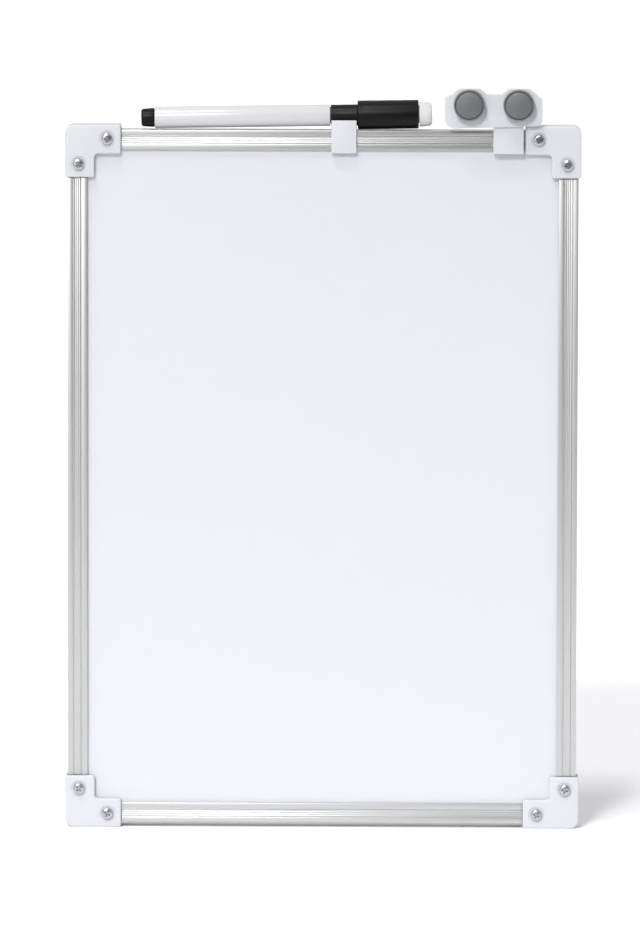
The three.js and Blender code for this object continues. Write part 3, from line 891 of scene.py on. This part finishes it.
# ---------------------------------------------------------------- magnet holder
# A moulded white plate with a round pad behind each magnet, on a saddle that snaps over the top rail. A
# thin steel keeper disc is let into each pad for the magnet to cling to.
plate_thickness = 2.2 * mm
plate_edge_radius = 0.4 * mm
plate_rise = 1 * mm
plate_right_rise = 1.3 * mm
pad_top_half = 4.4 * mm
pad_foot_half = 7 * mm
pad_height = 2.3 * mm
lug_wall = 2.6 * mm
lug_width = 12.3 * mm
lug_start = 69.2 * mm
bridge_height = 2.2 * mm

low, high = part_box("magnet_holder")
magnets = {side: sum(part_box(f"magnet_housing_{side}"), Vector()) / 2 for side in ("left", "right")}
left_x, right_x = magnets["left"].x, magnets["right"].x
plate_foot = rail_high.z + plate_rise
pad_foot = high.z - pad_height
# Each corner is (x, z, radius), with its radius in millimetres.
plate_corners = [
    (low.x, plate_foot, 4.2), (high.x, plate_foot + plate_right_rise, 2.6),
    (high.x, pad_foot - 2 * mm, 1.5),
    (right_x + pad_top_half, high.z, 1.2), (right_x - pad_top_half, high.z, 1.2),
    (right_x - pad_foot_half, pad_foot, 1), (left_x + pad_foot_half, pad_foot, 1),
    (left_x + pad_top_half, high.z, 1.2), (left_x - pad_top_half, high.z, 1.2),
    (left_x - pad_foot_half, pad_foot, 1), (low.x, pad_foot - 1.2 * mm, 1.2),
]
plate = bmesh.new()
bends = [plate.verts.new((x, low.y, z)) for x, z, radius in plate_corners]
plate.faces.new(bends)
for bend, (x, z, radius) in zip(bends, plate_corners):
    neighbours = [edge.other_vert(bend).co for edge in bend.link_edges]
    opening = (neighbours[0] - bend.co).angle(neighbours[1] - bend.co)
    bmesh.ops.bevel(
        plate, geom=[bend], offset=radius * mm / tan(opening / 2), segments=8, profile=0.5,
        affect="VERTICES", material=-1,
    )
made = bmesh.ops.extrude_face_region(plate, geom=plate.faces[:])["geom"]
moved = [item for item in made if isinstance(item, bmesh.types.BMVert)]
bmesh.ops.translate(plate, verts=moved, vec=(0, plate_thickness, 0))
bmesh.ops.recalc_face_normals(plate, faces=plate.faces)
round_edges(plate, plate_edge_radius, segments=4)

lug_front, lug_back = rail_low.y - pocket_gap - lug_wall, rail_low.y - pocket_gap
lug_top = magnets["left"].z - 2 * mm
bridge_top = rail_high.z + bridge_height
saddle_low = Vector((lug_start, lug_front, low.z))
section = saddle_section(saddle_low, high, rail_high, lug_wall, clip_wall)
section += [(high.y, low.z), (high.y, bridge_top), (lug_back, bridge_top), (lug_back, lug_top)]
section += [(lug_front, lug_top), (lug_front, low.z)]
saddle = outline_prism([(lug_start, y, z) for y, z in section], (lug_width, 0, 0))
round_saddle(saddle)
holder = combine(plate, [saddle], "UNION")
pockets = []
for side in ("left", "right"):
    keeper_low, keeper_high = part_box(f"keeper_disc_{side}")
    middle = (keeper_low + keeper_high) / 2
    pocket_radius = (keeper_high.x - keeper_low.x) / 2 + pocket_gap
    mouth, floor = low.y - mm, keeper_high.y + pocket_gap
    pockets.append(rod(pocket_radius, (middle.x, mouth, middle.z), (middle.x, floor, middle.z), 64))
holder = combine(holder, pockets, "DIFFERENCE")
make_piece(holder, "rail_holder_for_magnets", "holder", "white_plastic", white_abs, "magnet_holder")


# ---------------------------------------------------------------- keeper discs
# Thin blanked steel discs glued into the holder's pads; they are hidden behind the magnets at rest.
keeper_edge_radius = 0.08 * mm


def tumbled_steel():
    """Blanked and tumbled steel: an even mid grey, softened by a fine grain of tiny knocks."""
    material = new_material("tumbled_steel_disc")
    place_in = add_node(material, "ShaderNodeTexCoord", {})
    # The knocks are about 0.1 mm across; they are drawn at 0.4 mm so that they show.
    knocks = add_node(
        material, "ShaderNodeTexNoise",
        {"Vector": place_in.outputs["Object"], "Scale": size(0.4), "Detail": 4},
    )
    shade = add_node(
        material, "ShaderNodeMix",
        {"Factor": knocks.outputs["Fac"], 6: linear("#616264"), 7: linear("#98999B")}, data_type="RGBA",
    )
    relief = add_node(
        material, "ShaderNodeBump",
        {"Height": knocks.outputs["Fac"], "Strength": 0.5, "Distance": 0.05 * mm},
    )
    add_node(material, "Principled BSDF", {
        "Base Color": shade.outputs[2],
        "Metallic": 0.85,
        "Roughness": 0.48,
        "Normal": relief.outputs["Normal"],
    })
    return material


tumbled_disc = tumbled_steel()


def disc_between(node, name, body, slot, material, edge_radius):
    """A flat round disc that fills its CAD node's box."""
    disc_low, disc_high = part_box(node)
    middle = (disc_low + disc_high) / 2
    start, end = Vector((middle.x, disc_low.y, middle.z)), Vector((middle.x, disc_high.y, middle.z))
    disc = rod((disc_high.x - disc_low.x) / 2, start, end, segments=72)
    round_edges(disc, edge_radius, segments=3)
    return make_piece(disc, name, body, slot, material, node)


for side in ("left", "right"):
    disc_between(
        f"keeper_disc_{side}", f"steel_keeper_{side}", "holder", "steel_disc", tumbled_disc,
        keeper_edge_radius,
    )


# ---------------------------------------------------------------- magnets
# Each magnet is a ferrite disc glued into the back of a round moulded grey housing, with a steel disc let
# into the front. A narrow gap runs round the front disc and reads as a dark ring.
face_pocket_depth = 0.9 * mm
face_pocket_radius = 5.8 * mm
ferrite_pocket_depth = 2.4 * mm
ferrite_pocket_radius = 5.3 * mm
case_edge_radius = 0.18 * mm
face_disc_edge_radius = 0.12 * mm
ferrite_edge_radius = 0.2 * mm


def grey_polypropylene():
    """Moulded grey polypropylene: even mid grey with a satin surface."""
    material = new_material("satin_grey_polypropylene")
    place_in = add_node(material, "ShaderNodeTexCoord", {})
    grain = add_node(
        material, "ShaderNodeTexNoise",
        {"Vector": place_in.outputs["Object"], "Scale": size(0.4), "Detail": 3},
    )
    shade = add_node(
        material, "ShaderNodeMix",
        {"Factor": grain.outputs["Fac"], 6: linear("#6E6F71"), 7: linear("#7C7D7F")}, data_type="RGBA",
    )
    relief = add_node(
        material, "ShaderNodeBump",
        {"Height": grain.outputs["Fac"], "Strength": 0.2, "Distance": 0.03 * mm},
    )
    add_node(material, "Principled BSDF", {
        "Base Color": shade.outputs[2],
        "Roughness": 0.4,
        "IOR": 1.49,
        "Normal": relief.outputs["Normal"],
    })
    return material


def sintered_ferrite():
    """Sintered ferrite: charcoal grey, matt and finely pitted like fired clay."""
    material = new_material("sintered_ferrite")
    place_in = add_node(material, "ShaderNodeTexCoord", {})
    pits = add_node(
        material, "ShaderNodeTexNoise",
        {"Vector": place_in.outputs["Object"], "Scale": size(0.3), "Detail": 6},
    )
    shade = add_node(
        material, "ShaderNodeMix",
        {"Factor": pits.outputs["Fac"], 6: linear("#2E2E30"), 7: linear("#48484A")}, data_type="RGBA",
    )
    relief = add_node(
        material, "ShaderNodeBump",
        {"Height": pits.outputs["Fac"], "Strength": 0.5, "Distance": 0.06 * mm},
    )
    add_node(material, "Principled BSDF", {
        "Base Color": shade.outputs[2],
        "Roughness": 0.75,
        "Normal": relief.outputs["Normal"],
    })
    return material


grey_plastic = grey_polypropylene()
ferrite = sintered_ferrite()
for side in ("left", "right"):
    body = f"magnet_{side}"
    low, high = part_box(f"magnet_housing_{side}")
    depth, radius = high.y - low.y, (high.x - low.x) / 2
    housing = turned([
        (face_pocket_depth, 0), (face_pocket_depth, face_pocket_radius), (0, face_pocket_radius),
        (0, radius), (depth, radius), (depth, ferrite_pocket_radius),
        (depth - ferrite_pocket_depth, ferrite_pocket_radius), (depth - ferrite_pocket_depth, 0),
    ], steps=96)
    round_edges(housing, case_edge_radius, segments=4)
    place(housing, Vector(((low.x + high.x) / 2, low.y, (low.z + high.z) / 2)), (0, 1, 0))
    make_piece(
        housing, f"grey_magnet_case_{side}", body, "grey_plastic", grey_plastic, f"magnet_housing_{side}",
    )
    disc_between(
        f"magnet_face_disc_{side}", f"steel_face_{side}", body, "steel_disc", tumbled_disc,
        face_disc_edge_radius,
    )
    disc_between(
        f"ferrite_disc_{side}", f"ferrite_magnet_{side}", body, "ferrite", ferrite, ferrite_edge_radius,
    )


# ---------------------------------------------------------------- studio
# A white table top that ends in front of the board, two soft lamps from the left, a lit card at the front
# left, a dark flag at the front right that only shows in reflections, and a sky that is brighter behind the
# board.
table_left, table_right = -20, 20
table_front, table_back = -0.6, 20
lamps = {
    "low_lamp": {"azimuth": -14, "elevation": 31, "strength": 1.5, "spread": 10},
    "high_lamp": {"azimuth": -30, "elevation": 64, "strength": 1.0, "spread": 16},
}
flag_low, flag_high = Vector((-0.15, -0.7, 0.22)), Vector((0.5, -0.7, 0.9))
card_centre = Vector((-0.28, -0.5, 0.3))
card_width = 0.3
card_height = 0.35
card_power = 0.3
card_aim = Vector((0, 0, 0.15))
sky_in_front = 0.47
sky_behind = 0.76

table = bpy.data.meshes.new("table_top")
table_shape = bmesh.new()
bmesh.ops.create_grid(table_shape, x_segments=1, y_segments=1, size=0.5)
stretch = Matrix.Diagonal((table_right - table_left, table_back - table_front, 1, 1))
centre = Matrix.Translation(((table_left + table_right) / 2, (table_front + table_back) / 2, 0))
bmesh.ops.transform(table_shape, matrix=centre @ stretch, verts=table_shape.verts)
table_shape.to_mesh(table)
table_shape.free()
table_top = bpy.data.objects.new("table_top", table)
scene.collection.objects.link(table_top)
table_paint = new_material("matt_white_paint")
add_node(table_paint, "Principled BSDF", {
    "Base Color": linear("#FBFBFC"),
    "Roughness": 0.9,
    "Specular IOR Level": 0,
})
table.materials.append(table_paint)

flag_shape = outline_prism([
    flag_low, (flag_high.x, flag_low.y, flag_low.z), flag_high, (flag_low.x, flag_low.y, flag_high.z),
], (0, -1 * mm, 0))
flag_cloth = bpy.data.meshes.new("dark_flag")
flag_shape.to_mesh(flag_cloth)
flag_shape.free()
flag = bpy.data.objects.new("dark_flag", flag_cloth)
scene.collection.objects.link(flag)
black_cloth = new_material("black_flag_cloth")
add_node(black_cloth, "Principled BSDF", {"Base Color": linear("#161616"), "Roughness": 1})
flag_cloth.materials.append(black_cloth)
flag.visible_camera = False
flag.visible_shadow = False
flag.visible_diffuse = False

for name, lamp in lamps.items():
    lamp_data = bpy.data.lights.new(name, "SUN")
    lamp_data.energy = lamp["strength"]
    lamp_data.angle = radians(lamp["spread"])
    azimuth, elevation = radians(lamp["azimuth"]), radians(lamp["elevation"])
    lamp_from = Vector((sin(azimuth) * cos(elevation), -cos(azimuth) * cos(elevation), sin(elevation)))
    lamp_object = bpy.data.objects.new(name, lamp_data)
    lamp_object.rotation_euler = lamp_from.to_track_quat("Z", "Y").to_euler()
    scene.collection.objects.link(lamp_object)

card_data = bpy.data.lights.new("card", "AREA")
card_data.shape = "RECTANGLE"
card_data.size = card_width
card_data.size_y = card_height
card_data.energy = card_power
card = bpy.data.objects.new("card", card_data)
card.location = card_centre
card.rotation_euler = (card_centre - card_aim).to_track_quat("Z", "Y").to_euler()
card.visible_camera = False
scene.collection.objects.link(card)

sky = bpy.data.worlds.new("white_sky")
sky.use_nodes = True
scene.world = sky
sky_place = add_node(sky, "ShaderNodeTexCoord", {})
sky_side = add_node(sky, "ShaderNodeSeparateXYZ", {"Vector": sky_place.outputs["Generated"]})
sky_tone = add_node(
    sky, "ShaderNodeMapRange",
    {
        "Value": sky_side.outputs["Y"], "From Min": -1, "From Max": 0.4,
        "To Min": sky_in_front, "To Max": sky_behind,
    },
)
seen = add_node(sky, "ShaderNodeLightPath", {})
sky_shown = add_node(
    sky, "ShaderNodeMath", {0: sky_tone.outputs["Result"], 1: seen.outputs["Is Camera Ray"]},
    operation="MAXIMUM",
)
add_node(sky, "Background", {"Color": (0.985, 0.99, 1, 1), "Strength": sky_shown.outputs["Value"]})

scene.view_settings.view_transform = "Standard"
